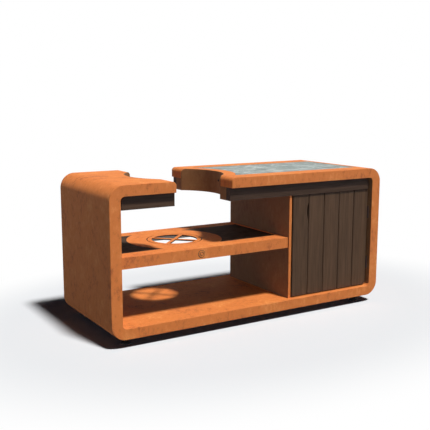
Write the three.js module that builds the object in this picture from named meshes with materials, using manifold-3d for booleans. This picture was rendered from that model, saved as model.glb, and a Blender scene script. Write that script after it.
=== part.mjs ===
// Outdoor table for a kamado grill: a loop of hollow weathering-steel sections with a gap in its top.
// Millimetres, +X to the right along the front, +Y to the back, +Z up, origin on the floor at the centre.

import * as THREE from 'three';
import { mergeVertices } from 'three/addons/utils/BufferGeometryUtils.js';
import Module from 'manifold-3d';

const wasm = await Module();
wasm.setup();

// Overall size
const length = 1915;
const depth = 732;
const ringHeight = 845;
const footHeight = 50;

// Sections of the steel loop
const sheet = 3;
const slabThickness = 61.5;
const deckThickness = 61.5;
const wallThickness = 66;
const outerRadius = 88;
const innerRadius = 25;
const seamFlat = 2;

// Place for the grill
const kamadoFromWall = 514;
const gapWidth = 361;
const openingRadius = 295;
const endRounding = 25;
const endCornerRadius = 6;
const linerThickness = 4;
const endPlateThickness = 4;

// Screws that hold the curved liners
const screwRadius = 7;
const screwHeadHeight = 3;
const screwShankRadius = 2.5;
const screwShankLength = 14;
const screwRise = 7;
const screwTurn = 0.125;

// Timber rails under the top
const railHeight = 76.5;
const railEndGap = 14;
const railGapSetback = 1;
const railDepthShare = 0.325;
const railRecessShare = 0.19;

// Stone worktop let into the right slab
const worktopMargin = 114;
const worktopRim = 74;
const worktopThickness = 20;
const worktopSink = 1;
const worktopJoint = 1.5;
const worktopCornerRadius = 10;
const worktopBeamWidth = 40;
const worktopBeamWall = 3;

// Shelf that carries the grill
const shelfClearHeight = 321;
const shelfThickness = 64;
const shelfFrontRecess = 41;
const shelfBackRecess = 37;
const inlayFrontMargin = 105;
const inlayBackMargin = 93;
const inlaySideMargin = 22;
const inlayThickness = 10;
const inlayJoint = 1;
const discRadius = 290;
const bridgeHalfWidth = 110;
const shelfBeamOffset = 205;
const shelfBeamSide = 30;
const shelfBeamWall = 3;
const shelfBeamEndGap = 0.3;

// Lift-out ring with its cross, on which the grill stands
const supportRingRadius = 164;
const supportRingWidth = 25;
const supportRingThickness = 8;
const seatGap = 6;
const seatLedge = 15;
const crossBarWidth = 20;

// Round disc on the front of the shelf
const roundelRadius = 22.5;
const roundelThickness = 4;
const roundelRimWidth = 3.5;
const roundelBossRadius = 13;
const roundelDish = 3;
const roundelBossDrop = 0.5;

// Angles that carry the shelves
const angleWidth = 28;
const angleHeight = 20;
const angleThickness = 3;
const angleInset = 95;

// Divider between the open bay and the cabinet
const bayWidth = 1133.5;
const dividerThickness = 18;
const dividerSkin = 2;
const dividerFrontRecess = 32;
const dividerBackRecess = 36;

// Cabinet
const backPanelThickness = 3;
const cabinetShelfRise = 320;
const cabinetShelfThickness = 20;
const cabinetShelfSheet = 2;
const cabinetShelfSetback = 20;
const cabinetShelfSideGap = 0.3;

// Door of five planks on three ledges
const doorRecess = 32;
const doorSideGap = 12;
const doorHingeGap = 5;
const doorBottomGap = 7;
const doorTopGap = 3.5;
const doorCornerCut = 20;
const plankCount = 5;
const plankThickness = 20;
const plankGap = 3;
const plankChamfer = 4;
const fingerSlotHeight = 106;
const fingerSlotDepth = 13;
const fingerSlotHeightShare = 0.838;
const ledgeHeight = 40;
const ledgeThickness = 12;
const ledgeInset = 12;
const ledgeStopGap = 6;
const ledgeHingeGap = 40;

// Door stop with its magnet
const stopWidth = 36;
const stopDepth = 20;
const magnetRadius = 6;
const magnetLength = 8;
const strikeRadius = 8;
const strikeThickness = 2;

// Hinges
const hingeLength = 80;
const hingeInset = 110;
const leafThickness = 2;
const knuckleRadius = 4;
const pinRadius = 1.9;
const pinHeadRadius = 3.2;
const pinHeadHeight = 2;
const hingeFaceGap = 0.6;

// Feet
const footInsetX = 119;
const footInsetY = 90;
const footPostRadius = 16;
const footFlangeRadius = 28;
const footFlangeThickness = 6;
const footPadRadius = 25;
const footPadThickness = 8;
const footPadChamfer = 2;

// Clearance between pieces that meet, and how far a cut runs past what it cuts
const fit = 0.3;
const overrun = 5;

// Steps of curved surfaces
const cornerSteps = 8;
const circleSteps = 96;
const smallCircleSteps = 24;

// Heights and places that follow from the sizes above
const halfLength = length / 2;
const halfDepth = depth / 2;
const halfGap = gapWidth / 2;
const ringBottom = footHeight;
const ringTop = ringBottom + ringHeight;
const deckTop = ringBottom + deckThickness;
const slabBottom = ringTop - slabThickness;
const wallInner = halfLength - wallThickness;
const kamadoX = -wallInner + kamadoFromWall;
const seamX = halfLength - Math.max(outerRadius, wallThickness + innerRadius) - seamFlat;
const railBottom = slabBottom - railHeight;
const cutRadius = openingRadius + linerThickness + fit;
const cheek = halfDepth - Math.sqrt(cutRadius ** 2 - halfGap ** 2);
const railDepth = cheek * railDepthShare;
const railFront = -halfDepth + cheek * railRecessShare;
const railFrontInner = railFront + railDepth;
const railBack = halfDepth - cheek * railRecessShare;
const railBackInner = railBack - railDepth;
const hollowDepths = [-halfDepth + sheet, halfDepth - sheet];
const shelfBottom = deckTop + shelfClearHeight;
const shelfTop = shelfBottom + shelfThickness;
const shelfFront = -halfDepth + shelfFrontRecess;
const shelfBack = halfDepth - shelfBackRecess;
const dividerLeft = -wallInner + bayWidth;
const dividerRight = dividerLeft + dividerThickness;
const dividerFront = -halfDepth + dividerFrontRecess;
const dividerBack = halfDepth - dividerBackRecess;
const doorFront = -halfDepth + doorRecess;
const doorBack = doorFront + plankThickness;
const doorLeft = dividerRight + doorSideGap;
const doorRight = wallInner - doorHingeGap;
const doorBottom = deckTop + doorBottomGap;
const doorTop = railBottom - doorTopGap;
const doorHeight = doorTop - doorBottom;
const fingerSlotCentre = doorBottom + doorHeight * fingerSlotHeightShare;
const hingeX = wallInner - fit - knuckleRadius;
const hingeY = doorFront - hingeFaceGap - knuckleRadius;

// Materials
const weatheringSteel = new THREE.MeshStandardMaterial({ color: 0xb5683a, roughness: 0.85, metalness: 0.2 });
const darkTimber = new THREE.MeshStandardMaterial({ color: 0x56443a, roughness: 0.75, metalness: 0 });
const greyStone = new THREE.MeshStandardMaterial({ color: 0xa3b5b0, roughness: 0.35, metalness: 0 });
const blackCeramic = new THREE.MeshStandardMaterial({ color: 0x1f1b1b, roughness: 0.4, metalness: 0 });
const bareSteel = new THREE.MeshStandardMaterial({ color: 0x8a8784, roughness: 0.4, metalness: 1 });
const blackRubber = new THREE.MeshStandardMaterial({ color: 0x1b1b1b, roughness: 0.9, metalness: 0 });

const quarter = Math.PI / 2;

// Turns a closed geometry into a solid that can be joined and cut.
function solid(geometry) {
  const bare = geometry.clone();
  bare.deleteAttribute('normal');
  bare.deleteAttribute('uv');
  const merged = mergeVertices(bare);
  const vertProperties = new Float32Array(merged.attributes.position.array);
  const triVerts = new Uint32Array(merged.index.array);
  return new wasm.Manifold(new wasm.Mesh({ numProp: 3, vertProperties, triVerts }));
}

// Turns a solid back into a geometry with flat faces.
function geometryOf(body) {
  const { vertProperties, triVerts } = body.getMesh();
  const indexed = new THREE.BufferGeometry();
  indexed.setAttribute('position', new THREE.BufferAttribute(new Float32Array(vertProperties), 3));
  indexed.setIndex(new THREE.BufferAttribute(new Uint32Array(triVerts), 1));
  const flat = indexed.toNonIndexed();
  flat.computeVertexNormals();
  return flat;
}

// Adds one named piece to a group. The shape is a geometry or a solid.
function addPiece(group, name, shape, material) {
  const geometry = shape.isBufferGeometry ? shape : geometryOf(shape);
  const mesh = new THREE.Mesh(geometry, material);
  mesh.name = name;
  group.add(mesh);
  return mesh;
}

// A box between low and high values along each axis.
function boxBetween([x0, x1], [y0, y1], [z0, z1]) {
  const geometry = new THREE.BoxGeometry(x1 - x0, y1 - y0, z1 - z0);
  geometry.translate((x0 + x1) / 2, (y0 + y1) / 2, (z0 + z1) / 2);
  return geometry;
}

// An upright cylinder on a given centre line.
function uprightCylinder(radius, [z0, z1], centreX = 0, centreY = 0, steps = circleSteps) {
  const geometry = new THREE.CylinderGeometry(radius, radius, z1 - z0, steps);
  geometry.rotateX(quarter);
  geometry.translate(centreX, centreY, (z0 + z1) / 2);
  return geometry;
}

// A plan outline in X and Y, raised from z0 to z1.
function extrudeUp(shape, [z0, z1], steps = cornerSteps) {
  const geometry = new THREE.ExtrudeGeometry(shape, { depth: z1 - z0, bevelEnabled: false, curveSegments: steps });
  geometry.translate(0, 0, z0);
  return geometry;
}

// A front outline in X and Z, extruded from y0 back to y1.
function extrudeBack(shape, [y0, y1], steps = cornerSteps) {
  const geometry = new THREE.ExtrudeGeometry(shape, { depth: y1 - y0, bevelEnabled: false, curveSegments: steps });
  geometry.rotateX(quarter);
  geometry.translate(0, y1, 0);
  return geometry;
}

// A side outline in Y and Z, extruded from x0 to x1.
function extrudeAcross(shape, [x0, x1], steps = cornerSteps) {
  const geometry = new THREE.ExtrudeGeometry(shape, { depth: x1 - x0, bevelEnabled: false, curveSegments: steps });
  const yAxis = new THREE.Vector3(0, 1, 0);
  const zAxis = new THREE.Vector3(0, 0, 1);
  const xAxis = new THREE.Vector3(1, 0, 0);
  geometry.applyMatrix4(new THREE.Matrix4().makeBasis(yAxis, zAxis, xAxis));
  geometry.translate(x0, 0, 0);
  return geometry;
}

// A straight-sided outline through the given points.
function polygon(points) {
  return new THREE.Shape(points.map(([a, b]) => new THREE.Vector2(a, b)));
}

// An arc on the right side, or its mirror image on the left.
function sideArc(shape, side, centreX, centreZ, radius, from, to) {
  const start = side > 0 ? from : Math.PI - from;
  const end = side > 0 ? to : Math.PI - to;
  shape.absarc(side * centreX, centreZ, radius, start, end, (to < from) === (side > 0));
}

// A rectangle with four round corners.
function roundedRectangle([x0, x1], [y0, y1], radius) {
  const shape = new THREE.Shape();
  shape.absarc(x1 - radius, y0 + radius, radius, -quarter, 0, false);
  shape.absarc(x1 - radius, y1 - radius, radius, 0, quarter, false);
  shape.absarc(x0 + radius, y1 - radius, radius, quarter, Math.PI, false);
  shape.absarc(x0 + radius, y0 + radius, radius, Math.PI, Math.PI + quarter, false);
  return shape;
}

// The front outline of a side wall with both its corners, drawn in by the inset.
function wallOutline(side, inset, seamOverrun) {
  const outerX = halfLength - inset;
  const innerX = wallInner + inset;
  const top = ringTop - inset;
  const bottom = ringBottom + inset;
  const ceiling = slabBottom + inset;
  const floor = deckTop - inset;
  const seam = seamX - seamOverrun;
  const outside = outerRadius - inset;
  const inside = innerRadius + inset;
  const shape = new THREE.Shape();
  shape.moveTo(side * seam, floor);
  shape.lineTo(side * seam, bottom);
  sideArc(shape, side, outerX - outside, bottom + outside, outside, -quarter, 0);
  sideArc(shape, side, outerX - outside, top - outside, outside, 0, quarter);
  shape.lineTo(side * seam, top);
  shape.lineTo(side * seam, ceiling);
  sideArc(shape, side, innerX - inside, ceiling - inside, inside, quarter, 0);
  sideArc(shape, side, innerX - inside, floor + inside, inside, 0, -quarter);
  return shape;
}

// A side wall: a hollow section that is open where it meets the slab and the deck.
function wallShell(side) {
  const outside = solid(extrudeBack(wallOutline(side, 0, 0), [-halfDepth, halfDepth]));
  const hollow = solid(extrudeBack(wallOutline(side, sheet, overrun), hollowDepths));
  return outside.subtract(hollow);
}

// The bottom deck: a flat hollow section, open at both ends.
function deckShell() {
  const across = [-seamX - overrun, seamX + overrun];
  const outside = solid(boxBetween([-seamX, seamX], [-halfDepth, halfDepth], [ringBottom, deckTop]));
  const hollow = solid(boxBetween(across, hollowDepths, [ringBottom + sheet, deckTop - sheet]));
  return outside.subtract(hollow);
}

// How far a slab reaches from the grill's centre line to its seam.
function slabReach(side) {
  return seamX - side * kamadoX;
}

// The front outline of a slab about the grill's centre line, with its rounded end.
function slabOutline(side, inset, reach, bottom) {
  const radius = endRounding - inset;
  const shape = new THREE.Shape();
  shape.moveTo(side * reach, ringTop - inset);
  shape.lineTo(side * reach, bottom + inset);
  shape.lineTo(side * (halfGap + inset), bottom + inset);
  sideArc(shape, side, halfGap + endRounding, ringTop - endRounding, radius, Math.PI, quarter);
  return shape;
}

// The plan of the worktop's recess, grown outwards by a given amount, as a solid between two heights.
function worktopBlock(grow, heights) {
  const left = halfGap + endRounding + worktopRim;
  const right = halfLength - worktopMargin - kamadoX;
  const half = halfDepth - worktopMargin + grow;
  const outline = roundedRectangle([left - grow, right + grow], [-half, half], worktopCornerRadius + grow);
  const rim = uprightCylinder(openingRadius + worktopRim - grow, [heights[0] - overrun, heights[1] + overrun]);
  return solid(extrudeUp(outline, heights)).subtract(solid(rim));
}

// What a rounded upright corner takes off the end of a slab, for the outer face or for one set in by the inset.
function cornerCut(side, face, inset) {
  const x = side * (halfGap + inset);
  const y = face * (halfDepth - inset);
  const radius = endCornerRadius - inset;
  const across = [x - side * overrun, x + side * radius].sort((a, b) => a - b);
  const along = [y + face * overrun, y - face * radius].sort((a, b) => a - b);
  const past = [slabBottom - overrun, ringTop + overrun];
  const round = uprightCylinder(radius, [past[0] - overrun, past[1] + overrun], x + side * radius, y - face * radius);
  return solid(boxBetween(across, along, past)).subtract(solid(round));
}

// A slab of the top, cut round the grill. It is hollow and open at its seam.
function slabShell(side, recessed) {
  const reach = slabReach(side);
  const past = [slabBottom - overrun, ringTop + overrun];
  const block = solid(extrudeBack(slabOutline(side, 0, reach, slabBottom), [-halfDepth, halfDepth]));
  const core = solid(extrudeBack(slabOutline(side, sheet, reach + overrun, slabBottom), hollowDepths));
  let hollow = core.subtract(solid(uprightCylinder(cutRadius + sheet, past)));
  let outside = block.subtract(solid(uprightCylinder(cutRadius, past)));
  for (const face of [-1, 1]) {
    hollow = hollow.subtract(cornerCut(side, face, sheet));
    outside = outside.subtract(cornerCut(side, face, 0));
  }
  if (recessed) {
    const floor = ringTop - worktopThickness - worktopSink;
    hollow = hollow.subtract(worktopBlock(sheet, [floor - sheet, ringTop + overrun]));
    outside = outside.subtract(worktopBlock(0, [floor, ringTop + overrun]));
  }
  return outside.subtract(hollow);
}

// The curved liner of a slab, from its top edge down to the rails.
function arcLiner(side) {
  const past = [railBottom - overrun, ringTop + overrun];
  const outer = solid(uprightCylinder(openingRadius + linerThickness, past));
  const tube = outer.subtract(solid(uprightCylinder(openingRadius, past)));
  const reach = openingRadius + linerThickness + overrun;
  const body = solid(extrudeBack(slabOutline(side, 0, reach, railBottom), [-halfDepth, halfDepth]));
  return tube.intersect(body);
}

// A plate that closes the space under a slab between a rail and the liner.
function endPlate(side, near, far) {
  const across = [side * halfGap, side * (halfGap + endPlateThickness)].sort((a, b) => a - b);
  const block = solid(boxBetween(across, [near, far].sort((a, b) => a - b), [railBottom, slabBottom]));
  return block.subtract(solid(uprightCylinder(cutRadius, [railBottom - overrun, slabBottom + overrun])));
}

// A round-headed screw through the middle of a liner, its head towards the grill.
function linerScrew() {
  const points = [
    [0, 0],
    [screwRadius * Math.SQRT1_2, 0],
    [screwRadius, screwHeadHeight * Math.SQRT1_2],
    [screwRadius, screwHeadHeight],
    [screwShankRadius, screwHeadHeight],
    [screwShankRadius, screwHeadHeight + screwShankLength],
    [0, screwHeadHeight + screwShankLength],
  ];
  return new THREE.LatheGeometry(points.map(([r, h]) => new THREE.Vector2(r, h)), smallCircleSteps);
}

// The hole that a liner's screw passes, from the liner into the slab, turned towards the front.
function screwHole(side) {
  const reach = openingRadius + screwShankLength + overrun;
  const geometry = new THREE.CylinderGeometry(
    screwShankRadius + fit, screwShankRadius + fit, reach - halfGap, smallCircleSteps,
  );
  geometry.rotateZ(quarter);
  geometry.translate(side * (reach + halfGap) / 2, 0, slabBottom + screwRise);
  geometry.rotateZ(-side * screwTurn);
  return solid(geometry);
}

// A timber rail under the top, from the gap to the side wall, with a cut corner at the wall.
function rail(side, [y0, y1]) {
  const start = kamadoX + side * (halfGap + railGapSetback);
  const end = side * (wallInner - railEndGap);
  const outline = polygon([
    [start, railBottom],
    [end, railBottom],
    [end, slabBottom - innerRadius],
    [end - side * innerRadius, slabBottom],
    [start, slabBottom],
  ]);
  return extrudeBack(outline, [y0, y1]);
}

// A square or flat tube along X with open ends.
function tubeAcross([x0, x1], [y0, y1], [z0, z1], wall) {
  const outside = solid(boxBetween([x0, x1], [y0, y1], [z0, z1]));
  const bore = solid(boxBetween([x0 - overrun, x1 + overrun], [y0 + wall, y1 - wall], [z0 + wall, z1 - wall]));
  return outside.subtract(bore);
}

// A flat tube along Y with open ends.
function tubeBack([x0, x1], [y0, y1], [z0, z1], wall) {
  const outside = solid(boxBetween([x0, x1], [y0, y1], [z0, z1]));
  const bore = solid(boxBetween([x0 + wall, x1 - wall], [y0 - overrun, y1 + overrun], [z0 + wall, z1 - wall]));
  return outside.subtract(bore);
}

// A steel angle along Y: a flat leg on top, and an upright leg against the face at x.
function angleBar(side, x, [y0, y1], top) {
  const outline = polygon([
    [x, top],
    [x, top - angleHeight],
    [x - side * angleThickness, top - angleHeight],
    [x - side * angleThickness, top - angleThickness],
    [x - side * angleWidth, top - angleThickness],
    [x - side * angleWidth, top],
  ]);
  return extrudeBack(outline, [y0, y1]);
}

// The plan of one shelf inlay about the grill's centre line, grown outwards, as a solid between two heights.
function inlayBlock(side, grow, heights) {
  const edge = side > 0 ? dividerLeft - kamadoX : wallInner + kamadoX;
  const across = [side * (bridgeHalfWidth - grow), side * (edge - inlaySideMargin + grow)].sort((a, b) => a - b);
  const along = [shelfFront + inlayFrontMargin - grow, shelfBack - inlayBackMargin + grow];
  const past = [heights[0] - overrun, heights[1] + overrun];
  const disc = uprightCylinder(discRadius - grow, past, 0, (shelfFront + shelfBack) / 2);
  return solid(boxBetween(across, along, heights)).subtract(solid(disc));
}

// The grill's shelf: a folded pan, open below, with recesses for the inlays and a seat for the ring.
function kamadoShelf() {
  const left = -wallInner - kamadoX;
  const right = dividerLeft - kamadoX;
  const above = shelfTop + overrun;
  const seatRadius = supportRingRadius + seatGap;
  const seatFloor = shelfTop - supportRingThickness;
  const pocketFloor = shelfTop - inlayThickness;
  const block = solid(boxBetween([left, right], [shelfFront, shelfBack], [shelfBottom, shelfTop]));
  let hollow = solid(boxBetween(
    [left + sheet, right - sheet],
    [shelfFront + sheet, shelfBack - sheet],
    [shelfBottom - overrun, shelfTop - sheet],
  ));
  hollow = hollow.subtract(solid(uprightCylinder(seatRadius + sheet, [seatFloor - sheet, above])));
  let pan = block.subtract(solid(uprightCylinder(seatRadius, [seatFloor, above])));
  for (const side of [-1, 1]) {
    hollow = hollow.subtract(inlayBlock(side, sheet, [pocketFloor - sheet, above]));
    pan = pan.subtract(inlayBlock(side, 0, [pocketFloor, above]));
  }
  const mouth = solid(uprightCylinder(supportRingRadius - seatLedge, [shelfBottom - overrun, above]));
  return pan.subtract(hollow).subtract(mouth);
}

// The lift-out ring, with two bars crossing it.
function supportRing() {
  const heights = [shelfTop - supportRingThickness, shelfTop];
  const past = [heights[0] - overrun, heights[1] + overrun];
  const inner = supportRingRadius - supportRingWidth;
  const disc = solid(uprightCylinder(supportRingRadius, heights));
  let ring = disc.subtract(solid(uprightCylinder(inner, past)));
  const reach = supportRingRadius - supportRingWidth / 2;
  for (const turn of [quarter / 2, -quarter / 2]) {
    const bar = boxBetween([-reach, reach], [-crossBarWidth / 2, crossBarWidth / 2], heights);
    bar.rotateZ(turn);
    ring = ring.add(solid(bar));
  }
  return ring;
}

// The plain round disc on the shelf's front, dished between its rim and its boss.
function roundel() {
  const dish = roundelThickness - roundelDish;
  const boss = roundelThickness - roundelBossDrop;
  const rimInner = roundelRadius - roundelRimWidth;
  const points = [
    [0, 0],
    [roundelRadius, 0],
    [roundelRadius, roundelThickness],
    [rimInner, roundelThickness],
    [rimInner, dish],
    [roundelBossRadius, dish],
    [roundelBossRadius, boss],
    [0, boss],
  ];
  return new THREE.LatheGeometry(points.map(([r, h]) => new THREE.Vector2(r, h)), smallCircleSteps);
}

// The side outline of the divider, notched under both rails and drawn in by the inset.
function dividerOutline(inset, bottom) {
  const low = railBottom - inset;
  const high = slabBottom - inset;
  return polygon([
    [dividerFront + inset, bottom],
    [dividerBack - inset, bottom],
    [dividerBack - inset, low],
    [railBackInner - fit - inset, low],
    [railBackInner - fit - inset, high],
    [railFrontInner + fit + inset, high],
    [railFrontInner + fit + inset, low],
    [dividerFront + inset, low],
  ]);
}

// The divider: a hollow panel, open at its foot.
function dividerPanel() {
  const outside = solid(extrudeAcross(dividerOutline(0, deckTop), [dividerLeft, dividerRight]));
  const across = [dividerLeft + dividerSkin, dividerRight - dividerSkin];
  const hollow = solid(extrudeAcross(dividerOutline(dividerSkin, deckTop - overrun), across));
  return outside.subtract(hollow);
}

// The cabinet's back, with a corner cut for the loop's inner rounding.
function cabinetBack() {
  const outline = polygon([
    [dividerRight, deckTop],
    [wallInner - innerRadius, deckTop],
    [wallInner, deckTop + innerRadius],
    [wallInner, railBottom],
    [dividerRight, railBottom],
  ]);
  return extrudeBack(outline, [dividerBack - backPanelThickness, dividerBack]);
}

// The cabinet's loose shelf: a shallow pan, open below.
function cabinetShelf(top) {
  const x = [dividerRight + cabinetShelfSideGap, wallInner - cabinetShelfSideGap];
  const y = [doorBack + ledgeThickness + cabinetShelfSetback, dividerBack - backPanelThickness - fit];
  const bottom = top - cabinetShelfThickness;
  const block = solid(boxBetween(x, y, [bottom, top]));
  const hollow = solid(boxBetween(
    [x[0] + cabinetShelfSheet, x[1] - cabinetShelfSheet],
    [y[0] + cabinetShelfSheet, y[1] - cabinetShelfSheet],
    [bottom - overrun, top - cabinetShelfSheet],
  ));
  return block.subtract(hollow);
}

// The strip on the divider that the closed door rests against, bored for its magnet.
function doorStop() {
  const front = doorBack + fit;
  const strip = solid(boxBetween(
    [dividerRight, dividerRight + stopWidth], [front, front + stopDepth], [deckTop, railBottom],
  ));
  const bore = new THREE.CylinderGeometry(
    magnetRadius + fit, magnetRadius + fit, magnetLength + overrun, smallCircleSteps,
  );
  bore.translate(magnetX, front + (magnetLength - overrun) / 2, fingerSlotCentre);
  return strip.subtract(solid(bore));
}

// Left edge and width of the planks of the door
const plankWidth = (doorRight - doorLeft - plankGap * (plankCount - 1)) / plankCount;
const magnetX = (doorLeft + dividerRight + stopWidth) / 2;

// One plank, counted from the handle side, about the hinge's centre line.
function plank(index) {
  const x0 = doorLeft + index * (plankWidth + plankGap) - hingeX;
  const x1 = x0 + plankWidth;
  const front = doorFront - hingeY;
  const back = doorBack - hingeY;
  const section = polygon([
    [x0 + plankChamfer, front],
    [x1 - plankChamfer, front],
    [x1, front + plankChamfer],
    [x1, back],
    [x0, back],
    [x0, front + plankChamfer],
  ]);
  let body = solid(extrudeUp(section, [doorBottom, doorTop]));
  if (index === 0) {
    const slot = uprightCylinder(fingerSlotHeight / 2, [front - overrun, back + overrun], 0, 0);
    slot.scale(fingerSlotDepth / (fingerSlotHeight / 2), 1, 1);
    slot.rotateX(-quarter);
    slot.translate(x1, 0, fingerSlotCentre);
    body = body.subtract(solid(slot));
    const recess = new THREE.CylinderGeometry(
      strikeRadius + fit, strikeRadius + fit, strikeThickness + overrun, smallCircleSteps,
    );
    recess.translate(magnetX - hingeX, back + (overrun - strikeThickness) / 2, fingerSlotCentre);
    body = body.subtract(solid(recess));
  }
  if (index === plankCount - 1) {
    const corner = polygon([
      [x1 - doorCornerCut - overrun, doorBottom - overrun],
      [x1 + overrun, doorBottom - overrun],
      [x1 + overrun, doorBottom + doorCornerCut + overrun],
    ]);
    body = body.subtract(solid(extrudeBack(corner, [front - overrun, back + overrun])));
  }
  return body;
}

// A ledge across the back of the planks.
function ledge(bottom) {
  const x = [dividerRight + stopWidth + ledgeStopGap - hingeX, doorRight - ledgeHingeGap - hingeX];
  const y = [doorBack - hingeY, doorBack + ledgeThickness - hingeY];
  return boxBetween(x, y, [bottom, bottom + ledgeHeight]);
}

// A knuckle on the hinge's centre line.
function knuckle([z0, z1]) {
  return solid(uprightCylinder(knuckleRadius, [z0, z1], 0, 0, smallCircleSteps));
}

// A hinge leaf about the hinge's centre line: a plate, with a tongue and a knuckle over each stated height.
function hingeLeaf([x0, x1], [z0, z1], knuckleHeights) {
  const root = knuckleRadius + fit;
  let leaf = solid(boxBetween([x0, x1], [root, doorBack - hingeY], [z0, z1]));
  for (const heights of knuckleHeights) {
    leaf = leaf.add(solid(boxBetween([x0, Math.min(x1, knuckleRadius)], [0, root + sheet], heights)));
    leaf = leaf.add(knuckle(heights));
  }
  const bore = uprightCylinder(pinRadius + fit, [z0 - overrun, z1 + overrun], 0, 0, smallCircleSteps);
  return leaf.subtract(solid(bore));
}

// The pin of a hinge, with its head on top.
function hingePin([z0, z1]) {
  const shank = solid(uprightCylinder(pinRadius, [z0, z1 + pinHeadHeight / 2], 0, 0, smallCircleSteps));
  const head = uprightCylinder(pinHeadRadius, [z1, z1 + pinHeadHeight], 0, 0, smallCircleSteps);
  return shank.add(solid(head));
}

// A foot's post with a flange under the deck.
function footPost() {
  const points = [
    [0, footPadThickness],
    [footPostRadius, footPadThickness],
    [footPostRadius, footHeight - footFlangeThickness],
    [footFlangeRadius, footHeight - footFlangeThickness],
    [footFlangeRadius, footHeight],
    [0, footHeight],
  ];
  const geometry = new THREE.LatheGeometry(points.map(([r, h]) => new THREE.Vector2(r, h)), smallCircleSteps);
  return geometry.rotateX(quarter);
}

// A foot's rubber pad.
function footPad() {
  const points = [
    [0, 0],
    [footPadRadius - footPadChamfer, 0],
    [footPadRadius, footPadChamfer],
    [footPadRadius, footPadThickness],
    [0, footPadThickness],
  ];
  const geometry = new THREE.LatheGeometry(points.map(([r, h]) => new THREE.Vector2(r, h)), smallCircleSteps);
  return geometry.rotateX(quarter);
}

const table = new THREE.Group();

// The steel loop
const loop = new THREE.Group();
table.add(loop);
addPiece(loop, 'left_wall_shell', wallShell(-1), weatheringSteel);
addPiece(loop, 'right_wall_shell', wallShell(1), weatheringSteel);
addPiece(loop, 'base_deck_shell', deckShell(), weatheringSteel);

// The two slabs of the top and their trim, about the grill's centre line
const top = new THREE.Group();
top.position.x = kamadoX;
table.add(top);
const screwHeadReach = openingRadius - fit - screwHeadHeight;
for (const [word, side] of [['left', -1], ['right', 1]]) {
  const hole = screwHole(side);
  addPiece(top, `${word}_slab_shell`, slabShell(side, side > 0).subtract(hole), weatheringSteel);
  addPiece(top, `${word}_arc_liner`, arcLiner(side).subtract(hole), weatheringSteel);
  addPiece(top, `${word}_front_end_plate`, endPlate(side, railFrontInner, 0), weatheringSteel);
  addPiece(top, `${word}_back_end_plate`, endPlate(side, railBackInner, 0), weatheringSteel);
  const screw = addPiece(top, `${word}_liner_screw`, linerScrew(), bareSteel);
  const across = side * screwHeadReach * Math.cos(screwTurn);
  screw.rotation.z = -side * (quarter + screwTurn);
  screw.position.set(across, -screwHeadReach * Math.sin(screwTurn), slabBottom + screwRise);
}

// Timber rails
const rails = new THREE.Group();
table.add(rails);
for (const [word, side] of [['left', -1], ['right', 1]]) {
  addPiece(rails, `${word}_front_rail`, rail(side, [railFront, railFrontInner]), darkTimber);
  addPiece(rails, `${word}_back_rail`, rail(side, [railBackInner, railBack]), darkTimber);
}

// Worktop and the beams under its recess
const worktopFloor = ringTop - worktopThickness - worktopSink;
const worktopHeights = [worktopFloor, worktopFloor + worktopThickness];
addPiece(top, 'stone_worktop', worktopBlock(-worktopJoint, worktopHeights), greyStone);
const beamHeights = [slabBottom + sheet, worktopFloor - sheet];
const beamDepths = [hollowDepths[0] + fit, hollowDepths[1] - fit];
const dividerMiddle = (dividerLeft + dividerRight) / 2 - kamadoX;
const worktopRight = halfLength - worktopMargin - kamadoX;
for (const [word, centre] of [['left', dividerMiddle], ['right', (dividerMiddle + worktopRight) / 2]]) {
  const across = [centre - worktopBeamWidth / 2, centre + worktopBeamWidth / 2];
  addPiece(top, `worktop_beam_${word}`, tubeBack(across, beamDepths, beamHeights, worktopBeamWall), bareSteel);
}

// Shelf for the grill, about the grill's centre line
const shelf = new THREE.Group();
shelf.position.x = kamadoX;
table.add(shelf);
addPiece(shelf, 'kamado_shelf', kamadoShelf(), weatheringSteel);
for (const [word, side] of [['left', -1], ['right', 1]]) {
  const heights = [shelfTop - inlayThickness, shelfTop];
  addPiece(shelf, `${word}_shelf_inlay`, inlayBlock(side, -inlayJoint, heights), blackCeramic);
}
addPiece(shelf, 'kamado_support_ring', supportRing(), weatheringSteel);
const disc = addPiece(shelf, 'front_roundel', roundel(), weatheringSteel);
disc.rotation.x = Math.PI;
disc.position.set(0, shelfFront, shelfBottom + shelfThickness / 2);
const shelfBeamTop = shelfTop - inlayThickness - sheet;
const shelfBeamEnds = [
  -wallInner - kamadoX + sheet + shelfBeamEndGap,
  dividerLeft - kamadoX - sheet - shelfBeamEndGap,
];
for (const [word, side] of [['front', -1], ['back', 1]]) {
  const centre = (shelfFront + shelfBack) / 2 + side * shelfBeamOffset;
  const along = [centre - shelfBeamSide / 2, centre + shelfBeamSide / 2];
  const heights = [shelfBeamTop - shelfBeamSide, shelfBeamTop];
  addPiece(shelf, `shelf_beam_${word}`, tubeAcross(shelfBeamEnds, along, heights, shelfBeamWall), bareSteel);
}

// Angles, divider and cabinet
const cabinet = new THREE.Group();
table.add(cabinet);
const shelfAngleDepths = [shelfFront + angleInset, shelfBack - angleInset];
addPiece(cabinet, 'kamado_shelf_angle_left', angleBar(-1, -wallInner, shelfAngleDepths, shelfBottom), bareSteel);
addPiece(cabinet, 'kamado_shelf_angle_right', angleBar(1, dividerLeft, shelfAngleDepths, shelfBottom), bareSteel);
addPiece(cabinet, 'divider_panel', dividerPanel(), weatheringSteel);
addPiece(cabinet, 'cabinet_back_panel', cabinetBack(), weatheringSteel);
const cabinetShelfTop = deckTop + cabinetShelfRise;
const cabinetAngleTop = cabinetShelfTop - cabinetShelfThickness;
const cabinetAngleDepths = [doorBack + ledgeThickness + angleInset, dividerBack - angleInset];
addPiece(cabinet, 'cabinet_shelf', cabinetShelf(cabinetShelfTop), weatheringSteel);
addPiece(cabinet, 'cabinet_shelf_angle_left', angleBar(-1, dividerRight, cabinetAngleDepths, cabinetAngleTop), bareSteel);
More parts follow.
